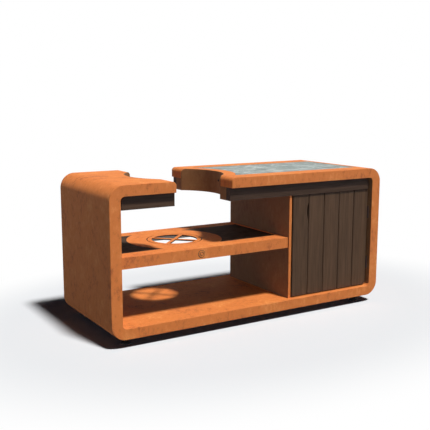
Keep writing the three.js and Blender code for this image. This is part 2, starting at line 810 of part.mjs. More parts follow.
addPiece(cabinet, 'cabinet_shelf_angle_right', angleBar(1, wallInner, cabinetAngleDepths, cabinetAngleTop), bareSteel);
addPiece(cabinet, 'door_stop', doorStop(), darkTimber);
const magnet = new THREE.CylinderGeometry(magnetRadius, magnetRadius, magnetLength, smallCircleSteps);
const magnetMesh = addPiece(cabinet, 'catch_magnet', magnet, bareSteel);
magnetMesh.position.set(magnetX, doorBack + fit + magnetLength / 2, fingerSlotCentre);

// Door, about the hinge's centre line
const door = new THREE.Group();
door.position.set(hingeX, hingeY, 0);
table.add(door);
for (let index = 0; index < plankCount; index += 1) {
  addPiece(door, `door_plank_${index + 1}`, plank(index), darkTimber);
}
const ledgeBottoms = {
  bottom: doorBottom + ledgeInset,
  middle: (doorBottom + doorTop - ledgeHeight) / 2,
  top: doorTop - ledgeInset - ledgeHeight,
};
for (const [word, bottom] of Object.entries(ledgeBottoms)) {
  addPiece(door, `door_ledge_${word}`, ledge(bottom), darkTimber);
}
const strike = new THREE.CylinderGeometry(strikeRadius, strikeRadius, strikeThickness, smallCircleSteps);
const strikeMesh = addPiece(door, 'catch_strike', strike, bareSteel);
strikeMesh.position.set(magnetX - hingeX, doorBack - strikeThickness / 2 - hingeY, fingerSlotCentre);

// Hinges: two knuckles on the wall's leaf, one on the door's
const wallLeafX = [wallInner - leafThickness - hingeX, wallInner - hingeX];
const doorLeafX = [doorRight - hingeX, doorRight + leafThickness - hingeX];
for (const [word, bottom] of [['bottom', doorBottom + hingeInset], ['top', doorTop - hingeInset - hingeLength]]) {
  const span = [bottom, bottom + hingeLength];
  const lower = [bottom, bottom + hingeLength / 3];
  const middle = [lower[1] + fit, bottom + hingeLength * 2 / 3 - fit];
  const upper = [bottom + hingeLength * 2 / 3, span[1]];
  addPiece(door, `hinge_wall_leaf_${word}`, hingeLeaf(wallLeafX, span, [lower, upper]), bareSteel);
  addPiece(door, `hinge_door_leaf_${word}`, hingeLeaf(doorLeafX, span, [middle]), bareSteel);
  addPiece(door, `hinge_pin_${word}`, hingePin(span), bareSteel);
}

// Feet
const feet = new THREE.Group();
table.add(feet);
for (const [depthWord, sideY] of [['front', -1], ['back', 1]]) {
  for (const [word, sideX] of [['left', -1], ['right', 1]]) {
    const x = sideX * (halfLength - footInsetX);
    const y = sideY * (halfDepth - footInsetY);
    addPiece(feet, `foot_post_${depthWord}_${word}`, footPost(), weatheringSteel).position.set(x, y, 0);
    addPiece(feet, `foot_pad_${depthWord}_${word}`, footPad(), blackRubber).position.set(x, y, 0);
  }
}

export default table;
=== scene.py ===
"""Looks of a kamado grill table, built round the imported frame.

The table is a rounded loop of weathering steel with a gap in its top, a shelf below the gap,
a stone worktop and a cabinet with a plank door. X runs to the right, Y to the back and Z up.
Lengths are in metres, or in millimetres where a name ends in _mm.
"""

import logging
import math
from dataclasses import dataclass
from enum import Enum
from typing import Any, Mapping, Sequence

import bmesh
import bpy
from mathutils import Matrix, Vector


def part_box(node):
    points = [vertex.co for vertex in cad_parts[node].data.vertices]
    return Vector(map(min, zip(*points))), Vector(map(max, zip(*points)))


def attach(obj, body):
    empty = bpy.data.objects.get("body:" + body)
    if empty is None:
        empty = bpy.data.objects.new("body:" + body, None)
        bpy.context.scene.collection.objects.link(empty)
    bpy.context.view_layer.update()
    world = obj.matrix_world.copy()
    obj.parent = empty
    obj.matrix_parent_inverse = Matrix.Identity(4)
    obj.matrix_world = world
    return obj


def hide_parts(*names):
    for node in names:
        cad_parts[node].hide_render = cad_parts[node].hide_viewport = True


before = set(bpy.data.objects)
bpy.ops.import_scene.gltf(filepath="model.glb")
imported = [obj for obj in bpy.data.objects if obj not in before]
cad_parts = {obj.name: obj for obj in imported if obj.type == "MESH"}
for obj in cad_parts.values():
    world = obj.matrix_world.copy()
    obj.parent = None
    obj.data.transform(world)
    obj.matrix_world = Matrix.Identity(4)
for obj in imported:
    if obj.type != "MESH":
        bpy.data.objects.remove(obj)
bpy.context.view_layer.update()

log = logging.getLogger("grill_table")

Point2 = tuple[float, float]
Point3 = tuple[float, float, float]
Tree = bpy.types.NodeTree
Socket = bpy.types.NodeSocket

MILLIMETRE = 0.001
QUARTER_TURN = math.pi / 2
WHITE = "#FFFFFF"

# Blender's noise runs from 0 to 1, with nearly all of it between these two values.
NOISE_LOW = 0.3
NOISE_MIDDLE = 0.5
NOISE_HIGH = 0.7

# Angles between faces, in degrees: faces nearer than the first are one flat face, corners
# sharper than the second are eased, and corners sharper than the others stay crisp.
FLAT_DEGREES = 1.0
EASED_DEGREES = 40.0
CRISP_DEGREES = 35.0
CRISP_WHEN_EASED_DEGREES = 50.0
EASING_STEPS = 2


def linear(code: str) -> tuple[float, float, float, float]:
    """Turns an sRGB hex colour to linear.

    Args:
        code: Colour as "#RRGGBB".

    Returns:
        Linear red, green and blue, and full opacity.
    """
    values = [int(code[i : i + 2], 16) / 255 for i in (1, 3, 5)]
    parts = [v / 12.92 if v <= 0.04045 else ((v + 0.055) / 1.055) ** 2.4 for v in values]
    return parts[0], parts[1], parts[2], 1.0


def add_node(
    tree: Tree,
    kind: str,
    inputs: dict[Any, Any] | None = None,
    stops: Sequence[tuple[float, str]] = (),
    **settings: Any,
) -> bpy.types.Node:
    """Adds a node, sets it up and links it.

    Args:
        tree: Tree that gets the node.
        kind: Blender's name of the node type.
        inputs: Socket name or number to a value, or to the socket that feeds it.
        stops: Position and hex colour of each stop of a colour ramp, in order.
        settings: Properties of the node.

    Returns:
        The new node.
    """
    node = tree.nodes.new(kind)
    for key, value in settings.items():
        setattr(node, key, value)
    for key, value in (inputs or {}).items():
        if isinstance(value, bpy.types.NodeSocket):
            tree.links.new(value, node.inputs[key])
        else:
            node.inputs[key].default_value = value
    if stops:
        elements = node.color_ramp.elements
        while len(elements) < len(stops):
            elements.new(1.0)
        for element, (place, code) in zip(elements, stops):
            element.position = place
            element.color = linear(code)
    return node


@dataclass(frozen=True)
class Pattern:
    """A noise pattern, scaled by the real size of its largest features."""

    size_mm: float
    detail: float
    roughness: float = 0.5
    distortion: float = 0.0

    def inputs(self, place: Socket) -> dict[str, Any]:
        """Returns the inputs of a noise texture that draws the pattern.

        Args:
            place: Position on the piece.

        Returns:
            Socket name to its value or feed.
        """
        return {
            "Vector": place,
            "Scale": 1 / (self.size_mm * MILLIMETRE),
            "Detail": self.detail,
            "Roughness": self.roughness,
            "Distortion": self.distortion,
        }


@dataclass(frozen=True)
class Finish:
    """A surface that a real workshop would name.

    A pattern moves its roughness from rough_low, where the pattern is low, to rough_high.
    """

    name: str
    rough_low: float
    rough_high: float

    def build(self) -> bpy.types.Material:
        """Makes the material, or finds it if an earlier piece has it.

        Returns:
            The material.
        """
        known = bpy.data.materials.get(self.name)
        if known:
            return known
        material = bpy.data.materials.new(self.name)
        material.use_nodes = True
        tree = material.node_tree
        tree.nodes.clear()
        shader = self.shade(tree, add_node(tree, "ShaderNodeTexCoord").outputs["Object"])
        add_node(tree, "ShaderNodeOutputMaterial", {"Surface": shader.outputs[0]})
        return material

    def roughness(self, tree: Tree, pattern: Socket) -> Socket:
        """Spreads the finish's roughness over a pattern.

        Args:
            tree: Tree that gets the nodes.
            pattern: The pattern's value, from 0 to 1.

        Returns:
            The roughness.
        """
        ends = {
            "Value": pattern,
            "From Min": NOISE_LOW,
            "From Max": NOISE_HIGH,
            "To Min": self.rough_low,
            "To Max": self.rough_high,
        }
        return add_node(tree, "ShaderNodeMapRange", ends).outputs["Result"]

    def shade(self, tree: Tree, place: Socket) -> bpy.types.Node:
        """Builds the shader in the tree and returns it."""
        raise NotImplementedError


@dataclass(frozen=True)
class WeatheringSteel(Finish):
    """Weathering steel that has rusted evenly outdoors: a matt, dusty oxide coat, finely mottled.

    The grit stands for the oxide's grains, which are too fine to show at their real size.
    """

    name: str = "weathering_steel_patina"
    rough_low: float = 0.92
    rough_high: float = 0.74
    deep: str = "#C2652A"
    body: str = "#E48135"
    bloom: str = "#F49A4C"
    deep_below: float = 0.37
    body_from: float = 0.47
    body_to: float = 0.53
    bloom_above: float = 0.64
    cloud: Pattern = Pattern(size_mm=140.0, detail=3.0)
    cloud_share: float = 0.4
    blotch: Pattern = Pattern(size_mm=24.0, detail=6.0, roughness=0.78)
    blotch_upright: float = 0.55
    grit: Pattern = Pattern(size_mm=5.0, detail=3.0, roughness=0.7)
    grit_height_mm: float = 0.45
    grit_strength: float = 0.35
    dustiness: float = 0.35
    specular_level: float = 0.7

    def oxide(self, tree: Tree, place: Socket, mottling: Socket) -> Socket:
        """Colours the oxide, here by one rule wherever the place is.

        Args:
            tree: Tree that gets the nodes.
            place: Position on the piece; not used here.
            mottling: How far the coat has weathered, from 0 to 1.

        Returns:
            The oxide's colour.
        """
        stops = [
            (self.deep_below, self.deep),
            (self.body_from, self.body),
            (self.body_to, self.body),
            (self.bloom_above, self.bloom),
        ]
        return add_node(tree, "ShaderNodeValToRGB", {"Fac": mottling}, stops).outputs["Color"]

    def shade(self, tree: Tree, place: Socket) -> bpy.types.Node:
        """Builds mottled oxide over a fine bump.

        Args:
            tree: Tree that gets the nodes.
            place: Position on the piece.

        Returns:
            The shader.
        """
        drawn = add_node(
            tree, "ShaderNodeMapping", {"Vector": place, "Scale": (1.0, 1.0, self.blotch_upright)}
        ).outputs["Vector"]
        cloud = add_node(tree, "ShaderNodeTexNoise", self.cloud.inputs(place)).outputs["Fac"]
        blotch = add_node(tree, "ShaderNodeTexNoise", self.blotch.inputs(drawn)).outputs["Fac"]
        grit = add_node(tree, "ShaderNodeTexNoise", self.grit.inputs(place)).outputs["Fac"]
        mottling = add_node(
            tree, "ShaderNodeMix", {"Factor": self.cloud_share, "A": blotch, "B": cloud}
        ).outputs["Result"]
        bump = add_node(
            tree,
            "ShaderNodeBump",
            {
                "Height": grit,
                "Strength": self.grit_strength,
                "Distance": self.grit_height_mm * MILLIMETRE,
            },
        )
        return add_node(
            tree,
            "ShaderNodeBsdfPrincipled",
            {
                "Base Color": self.oxide(tree, place, mottling),
                "Roughness": self.roughness(tree, blotch),
                "Diffuse Roughness": self.dustiness,
                "Specular IOR Level": self.specular_level,
                "Normal": bump.outputs["Normal"],
            },
        )


@dataclass(frozen=True)
class DeepShadePaintedSteel(WeatheringSteel):
    """Weathering steel darkened almost to black: painted deep shade for grooves, hollows and pieces
    that sit in shade.
    """

    name: str = "weathering_steel_painted_deep_shade"
    deep: str = "#2C190F"
    body: str = "#3A2114"
    bloom: str = "#4A2A18"


@dataclass(frozen=True)
class ShadePaintedSteel(WeatheringSteel):
    """Weathering steel darkened and browned: painted shade for faces that sit in shade."""

    name: str = "weathering_steel_painted_shade"
    deep: str = "#7F532B"
    body: str = "#8B5E31"
    bloom: str = "#9A6B3A"


@dataclass(frozen=True, kw_only=True)
class ShadeBlockSteel(WeatheringSteel):
    """Weathering steel with painted shade in one block of the piece, where the inner finish colours
    it.

    The block has its centre at middle and ends at reach on either side of it, along each axis.
    """

    name: str = "weathering_steel_shade_block"
    inner: WeatheringSteel = ShadePaintedSteel()
    middle: Point3
    reach: Point3

    def oxide(self, tree: Tree, place: Socket, mottling: Socket) -> Socket:
        """Colours the oxide in two ways, with painted shade inside the block and plain oxide
        outside it.

        Args:
            tree: Tree that gets the nodes.
            place: Position on the piece.
            mottling: How far the coat has weathered, from 0 to 1.

        Returns:
            The oxide's colour.
        """
        within = add_node(
            tree,
            "ShaderNodeMapping",
            {"Vector": place, "Location": self.middle, "Scale": self.reach},
            vector_type="TEXTURE",
        ).outputs["Vector"]
        away = add_node(tree, "ShaderNodeVectorMath", {0: within}, operation="ABSOLUTE")
        axes = add_node(tree, "ShaderNodeSeparateXYZ", {"Vector": away.outputs["Vector"]}).outputs
        plan = add_node(tree, "ShaderNodeMath", {0: axes["X"], 1: axes["Y"]}, operation="MAXIMUM")
        most = add_node(
            tree, "ShaderNodeMath", {0: plan.outputs[0], 1: axes["Z"]}, operation="MAXIMUM"
        )
        # Painted shade: 1 inside the block, where the inner, darker finish takes over.
        in_shade_block = add_node(
            tree, "ShaderNodeMath", {0: most.outputs[0], 1: 1.0}, operation="LESS_THAN"
        )
        outer = super().oxide(tree, place, mottling)
        inner = self.inner.oxide(tree, place, mottling)
        # Of a colour mix, sockets 6 and 7 are the two colours and output 2 is the result.
        mixed = add_node(
            tree,
            "ShaderNodeMix",
            {0: in_shade_block.outputs[0], 6: outer, 7: inner},
            data_type="RGBA",
        )
        return mixed.outputs[2]


class Grain(Enum):
    """The way that a board's grain runs: a small scale on an axis draws the pattern out there."""

    UPRIGHT = (1.0, 1.0, 0.03)
    ALONG = (0.03, 1.0, 1.0)


@dataclass(frozen=True)
class OiledTimber(Finish):
    """Heat-treated timber, sawn, brushed and oiled dark: satin, with fine streaks along the grain.

    The shift takes each board from another part of the log. Real pores are too fine to show, so
    they are drawn coarser.
    """

    name: str = "oiled_timber"
    rough_low: float = 0.72
    rough_high: float = 0.52
    grain: Grain = Grain.UPRIGHT
    shift: float = 0.0
    dark: str = "#4A3728"
    body: str = "#59422F"
    pale: str = "#694E39"
    dark_below: float = 0.36
    body_at: float = 0.5
    pale_above: float = 0.66
    streak: Pattern = Pattern(size_mm=5.0, detail=4.0, roughness=0.6)
    tone: Pattern = Pattern(size_mm=45.0, detail=2.0)
    tone_share: float = 0.5
    pore: Pattern = Pattern(size_mm=1.6, detail=2.0)
    pore_depth_mm: float = 0.3
    pore_strength: float = 0.4
    specular_level: float = 0.15

    def shade(self, tree: Tree, place: Socket) -> bpy.types.Node:
        """Builds streaks and pores stretched along the grain.

        Args:
            tree: Tree that gets the nodes.
            place: Position on the piece.

        Returns:
            The shader.
        """
        moved = add_node(
            tree,
            "ShaderNodeMapping",
            {"Vector": place, "Location": (self.shift,) * 3, "Scale": self.grain.value},
        ).outputs["Vector"]
        streak = add_node(tree, "ShaderNodeTexNoise", self.streak.inputs(moved)).outputs["Fac"]
        tone = add_node(tree, "ShaderNodeTexNoise", self.tone.inputs(moved)).outputs["Fac"]
        pore = add_node(tree, "ShaderNodeTexNoise", self.pore.inputs(moved)).outputs["Fac"]
        blend = add_node(tree, "ShaderNodeMix", {"Factor": self.tone_share, "A": streak, "B": tone})
        stops = [
            (self.dark_below, self.dark),
            (self.body_at, self.body),
            (self.pale_above, self.pale),
        ]
        colour = add_node(tree, "ShaderNodeValToRGB", {"Fac": blend.outputs["Result"]}, stops)
        bump = add_node(
            tree,
            "ShaderNodeBump",
            {
                "Height": pore,
                "Strength": self.pore_strength,
                "Distance": self.pore_depth_mm * MILLIMETRE,
            },
        )
        return add_node(
            tree,
            "ShaderNodeBsdfPrincipled",
            {
                "Base Color": colour.outputs["Color"],
                "Roughness": self.roughness(tree, streak),
                "Specular IOR Level": self.specular_level,
                "Normal": bump.outputs["Normal"],
            },
        )


@dataclass(frozen=True)
class HonedStone(Finish):
    """Grey-green marble, honed: soft clouds and veins under a low sheen."""

    name: str = "honed_green_stone"
    rough_low: float = 0.42
    rough_high: float = 0.32
    dark: str = "#5C6B66"
    body: str = "#7C8984"
    pale: str = "#B0BAB5"
    dark_below: float = 0.34
    body_at: float = 0.5
    pale_above: float = 0.68
    cloud: Pattern = Pattern(size_mm=110.0, detail=6.0, roughness=0.62, distortion=0.7)
    speckle: Pattern = Pattern(size_mm=7.0, detail=3.0)
    speckle_share: float = 0.12
    vein: Pattern = Pattern(size_mm=210.0, detail=5.0, roughness=0.55, distortion=1.2)
    vein_width: float = 0.035
    vein_paleness: float = 0.2
    specular_level: float = 0.1

    def shade(self, tree: Tree, place: Socket) -> bpy.types.Node:
        """Builds clouds crossed by pale veins, which run where their pattern is at its middle.

        Args:
            tree: Tree that gets the nodes.
            place: Position on the piece.

        Returns:
            The shader.
        """
        cloud = add_node(tree, "ShaderNodeTexNoise", self.cloud.inputs(place)).outputs["Fac"]
        speckle = add_node(tree, "ShaderNodeTexNoise", self.speckle.inputs(place)).outputs["Fac"]
        vein = add_node(tree, "ShaderNodeTexNoise", self.vein.inputs(place)).outputs["Fac"]
        away = add_node(tree, "ShaderNodeMath", {0: vein, 1: NOISE_MIDDLE}, operation="SUBTRACT")
        crest = add_node(tree, "ShaderNodeMath", {0: away.outputs[0]}, operation="ABSOLUTE")
        line = add_node(
            tree,
            "ShaderNodeMapRange",
            {
                "Value": crest.outputs[0],
                "From Min": 0.0,
                "From Max": self.vein_width,
                "To Min": self.vein_paleness,
                "To Max": 0.0,
            },
        ).outputs["Result"]
        mixed = add_node(
            tree, "ShaderNodeMix", {"Factor": self.speckle_share, "A": cloud, "B": speckle}
        ).outputs["Result"]
        total = add_node(tree, "ShaderNodeMath", {0: mixed, 1: line}, operation="ADD")
        stops = [
            (self.dark_below, self.dark),
            (self.body_at, self.body),
            (self.pale_above, self.pale),
        ]
        colour = add_node(tree, "ShaderNodeValToRGB", {"Fac": total.outputs[0]}, stops)
        return add_node(
            tree,
            "ShaderNodeBsdfPrincipled",
            {
                "Base Color": colour.outputs["Color"],
                "Roughness": self.roughness(tree, speckle),
                "Specular IOR Level": self.specular_level,
            },
        )


@dataclass(frozen=True)
class DullCeramic(Finish):
    """Black sintered slab with a dull face: almost even, with faint clouds."""

    name: str = "dull_black_slab"
    rough_low: float = 0.78
    rough_high: float = 0.9
    dark: str = "#44352A"
    pale: str = "#57463A"
    dark_below: float = 0.38
    pale_above: float = 0.62
    cloud: Pattern = Pattern(size_mm=60.0, detail=5.0)
    ripple: Pattern = Pattern(size_mm=25.0, detail=2.0)
    specular_level: float = 0.06

    def shade(self, tree: Tree, place: Socket) -> bpy.types.Node:
        """Builds faint clouds on a dull face.

        Args:
            tree: Tree that gets the nodes.
            place: Position on the piece.

        Returns:
            The shader.
        """
        cloud = add_node(tree, "ShaderNodeTexNoise", self.cloud.inputs(place)).outputs["Fac"]
        ripple = add_node(tree, "ShaderNodeTexNoise", self.ripple.inputs(place)).outputs["Fac"]
        stops = [(self.dark_below, self.dark), (self.pale_above, self.pale)]
        colour = add_node(tree, "ShaderNodeValToRGB", {"Fac": cloud}, stops)
        return add_node(
            tree,
            "ShaderNodeBsdfPrincipled",
            {
                "Base Color": colour.outputs["Color"],
                "Roughness": self.roughness(tree, ripple),
                "Specular IOR Level": self.specular_level,
            },
        )


@dataclass(frozen=True)
class PlainSteel(Finish):
    """Cold-drawn steel with a satin surface and marks from drawing, coarser than the real ones."""

    name: str = "plain_steel"
    rough_low: float = 0.48
    rough_high: float = 0.3
    dark: str = "#77736F"
    pale: str = "#A09C97"
    dark_below: float = 0.35
    pale_above: float = 0.65
    mark: Pattern = Pattern(size_mm=3.0, detail=4.0)

    def shade(self, tree: Tree, place: Socket) -> bpy.types.Node:
        """Builds a mottled satin metal.

        Args:
            tree: Tree that gets the nodes.
            place: Position on the piece.

        Returns:
            The shader.
        """
        mark = add_node(tree, "ShaderNodeTexNoise", self.mark.inputs(place)).outputs["Fac"]
        stops = [(self.dark_below, self.dark), (self.pale_above, self.pale)]
        colour = add_node(tree, "ShaderNodeValToRGB", {"Fac": mark}, stops).outputs["Color"]
        return add_node(
            tree,
            "ShaderNodeBsdfPrincipled",
            {"Base Color": colour, "Roughness": self.roughness(tree, mark), "Metallic": 1.0},
        )


@dataclass(frozen=True)
class BlackenedSteel(PlainSteel):
    """Steel blackened in hot oil: near black, satin."""

    name: str = "blackened_steel"
    dark: str = "#1B1918"
    pale: str = "#2C2926"


@dataclass(frozen=True)
class MouldedRubber(Finish):
    """Black rubber, moulded: dull, with a slight bloom."""

    name: str = "moulded_rubber"
    rough_low: float = 0.8
    rough_high: float = 0.95
    dark: str = "#151515"
    pale: str = "#262524"
    dark_below: float = 0.35
    pale_above: float = 0.7
    bloom: Pattern = Pattern(size_mm=9.0, detail=4.0)

    def shade(self, tree: Tree, place: Socket) -> bpy.types.Node:
        """Builds an uneven dull black.

        Args:
            tree: Tree that gets the nodes.
            place: Position on the piece.

        Returns:
            The shader.
        """
        bloom = add_node(tree, "ShaderNodeTexNoise", self.bloom.inputs(place)).outputs["Fac"]
        stops = [(self.dark_below, self.dark), (self.pale_above, self.pale)]
        colour = add_node(tree, "ShaderNodeValToRGB", {"Fac": bloom}, stops).outputs["Color"]
        return add_node(
            tree,
            "ShaderNodeBsdfPrincipled",
            {"Base Color": colour, "Roughness": self.roughness(tree, bloom)},
        )


def dress(obj: bpy.types.Object, finish: Finish) -> None:
    """Gives an object one finish in place of whatever it has."""
    obj.data.materials.clear()
    obj.data.materials.append(finish.build())


def smooth(obj: bpy.types.Object, degrees: float = CRISP_DEGREES) -> None:
    """Shades an object smooth, keeps its corners crisp and its flat faces flat.

    Args:
        obj: Object with a mesh.
        degrees: Corners sharper than this stay crisp.
    """
    obj.data.shade_smooth()
    obj.data.set_sharp_from_angle(angle=math.radians(degrees))
    weighted = obj.modifiers.new("even_normals", "WEIGHTED_NORMAL")
    weighted.keep_sharp = True


def soften_edges(obj: bpy.types.Object, width_mm: float) -> None:
    """Rounds an object's corners as a file or a plane would.

    Args:
        obj: Object with a mesh.
        width_mm: Width of the rounding in millimetres.
    """
    flat = obj.modifiers.new("join_flat_faces", "DECIMATE")
    flat.decimate_type = "DISSOLVE"
    flat.angle_limit = math.radians(FLAT_DEGREES)
    bevel = obj.modifiers.new("eased_edges", "BEVEL")
    bevel.width = width_mm * MILLIMETRE
    bevel.segments = EASING_STEPS
    bevel.limit_method = "ANGLE"
    bevel.angle_limit = math.radians(EASED_DEGREES)
    smooth(obj, CRISP_WHEN_EASED_DEGREES)


def dress_nodes(finishes: Mapping[str, Finish], edge_mm: float = 0.0) -> list[bpy.types.Object]:
    """Shades and dresses nodes of the frame.

    Args:
        finishes: Name of each node, and its finish.
        edge_mm: Width of the rounding on their corners, or 0 to leave the corners as they are.

    Returns:
        The nodes, in the same order.
    """
    nodes = [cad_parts[name] for name in finishes]
    for node, finish in zip(nodes, finishes.values()):
        if edge_mm:
            soften_edges(node, edge_mm)
        else:
            smooth(node)
        dress(node, finish)
    return nodes


def new_mesh(
    name: str, points: Sequence[Sequence[float]], faces: Sequence[Sequence[int]]
) -> bpy.types.Object:
    """Makes an object from points and faces, with its faces turned outwards.

    Args:
        name: Name of the object.
        points: Position of each corner.
        faces: Corner numbers of each face.

    Returns:
        The new object.
    """
    mesh = bpy.data.meshes.new(name)
    mesh.from_pydata([tuple(p) for p in points], [], [tuple(f) for f in faces])
    form = bmesh.new()
    form.from_mesh(mesh)
    bmesh.ops.recalc_face_normals(form, faces=form.faces)
    form.to_mesh(mesh)
    form.free()
    obj = bpy.data.objects.new(name, mesh)
    bpy.context.scene.collection.objects.link(obj)
    return obj


def arc(centre: Point2, radius: float, start: float, end: float, steps: int) -> list[Point2]:
    """Finds points on an arc.

    Args:
        centre: Centre of the arc.
        radius: Its radius.
        start: First angle in radians.
        end: Last angle in radians.
        steps: Number of chords.

    Returns:
        The points, both ends included.
    """
    angles = [start + (end - start) * i / steps for i in range(steps + 1)]
    return [(centre[0] + radius * math.cos(a), centre[1] + radius * math.sin(a)) for a in angles]


def circle(centre: Point2, radius: float, steps: int) -> list[Point2]:
    """Returns points round a whole circle, each once."""
    return arc(centre, radius, 0.0, math.tau, steps)[:-1]


def inset(points: Sequence[Point2], distance: float) -> list[Point2]:
    """Moves a clockwise outline inwards by a small distance.

    Args:
        points: Corners of the outline.
        distance: How far each side moves.

    Returns:
        The moved corners, in the same order.
    """
    moved = []
    for i, (x, z) in enumerate(points):
        before = Vector(points[i]) - Vector(points[i - 1])
        after = Vector(points[(i + 1) % len(points)]) - Vector(points[i])
        a = Vector((before.y, -before.x)).normalized()
        b = Vector((after.y, -after.x)).normalized()
        mitre = (a + b) / (1 + a.dot(b))
        moved.append((x + mitre.x * distance, z + mitre.y * distance))
    return moved


def bands(count: int, rows: int, first: int = 0) -> list[list[int]]:
    """Joins rows of corners, each a closed ring, by bands of four-sided faces.

    Args:
        count: Corners in each row.
        rows: Number of rows, whose corners are numbered one row after the other.
        first: Number of the first row's first corner.

    Returns:
        Corner numbers of each face.
    """
    faces = []
    for row in range(rows - 1):
        here = first + row * count
        for i in range(count):
            j = (i + 1) % count
            faces.append([here + i, here + j, here + count + j, here + count + i])
    return faces


def prism(name: str, plan: Sequence[Point2], low: float, high: float) -> bpy.types.Object:
    """Raises a plan outline into an upright block.

    Args:
        name: Name of the object.
        plan: Corners in X and Y.
        low: Height of the block's foot.
        high: Height of its top.

    Returns:
        The block.
    """
    count = len(plan)
    points = [(x, y, z) for z in (low, high) for x, y in plan]
    ends = [list(range(count)), list(range(count, 2 * count))]
    return new_mesh(name, points, ends + bands(count, 2))


def cut(target: bpy.types.Object, tools: Sequence[bpy.types.Object]) -> None:
    """Takes each tool's volume away from the target and deletes the tools.

    Args:
        target: Object that is cut.
        tools: Objects that cut it, in order.
    """
    for tool in tools:
        step = target.modifiers.new("cut", "BOOLEAN")
        step.operation = "DIFFERENCE"
        step.solver = "EXACT"
        step.object = tool
        bpy.context.view_layer.update()
        graph = bpy.context.evaluated_depsgraph_get()
        made = bpy.data.meshes.new_from_object(target.evaluated_get(graph))
        target.modifiers.clear()
        target.data = made
        bpy.data.objects.remove(tool)


def lathe(
    name: str, profile: Sequence[Point2], steps: int, placing: Matrix
) -> bpy.types.Object:
    """Turns a profile about its axis.

    Args:
        name: Name of the object.
        profile: Radius and height of each point; the first and last lie on the axis.
        steps: Number of steps round.
        placing: Where the piece goes.

    Returns:
        The turned piece.
    """
    rims = profile[1:-1]
    points = [(0.0, 0.0, profile[0][1]), (0.0, 0.0, profile[-1][1])]
    for radius, height in rims:
        points += [(x, y, height) for x, y in circle((0.0, 0.0), radius, steps)]
    first, last = 2, 2 + (len(rims) - 1) * steps
    faces = [[0, first + i, first + (i + 1) % steps] for i in range(steps)]
    faces += [[1, last + i, last + (i + 1) % steps] for i in range(steps)]
    faces += bands(steps, len(rims), first)
    return new_mesh(name, [placing @ Vector(p) for p in points], faces)


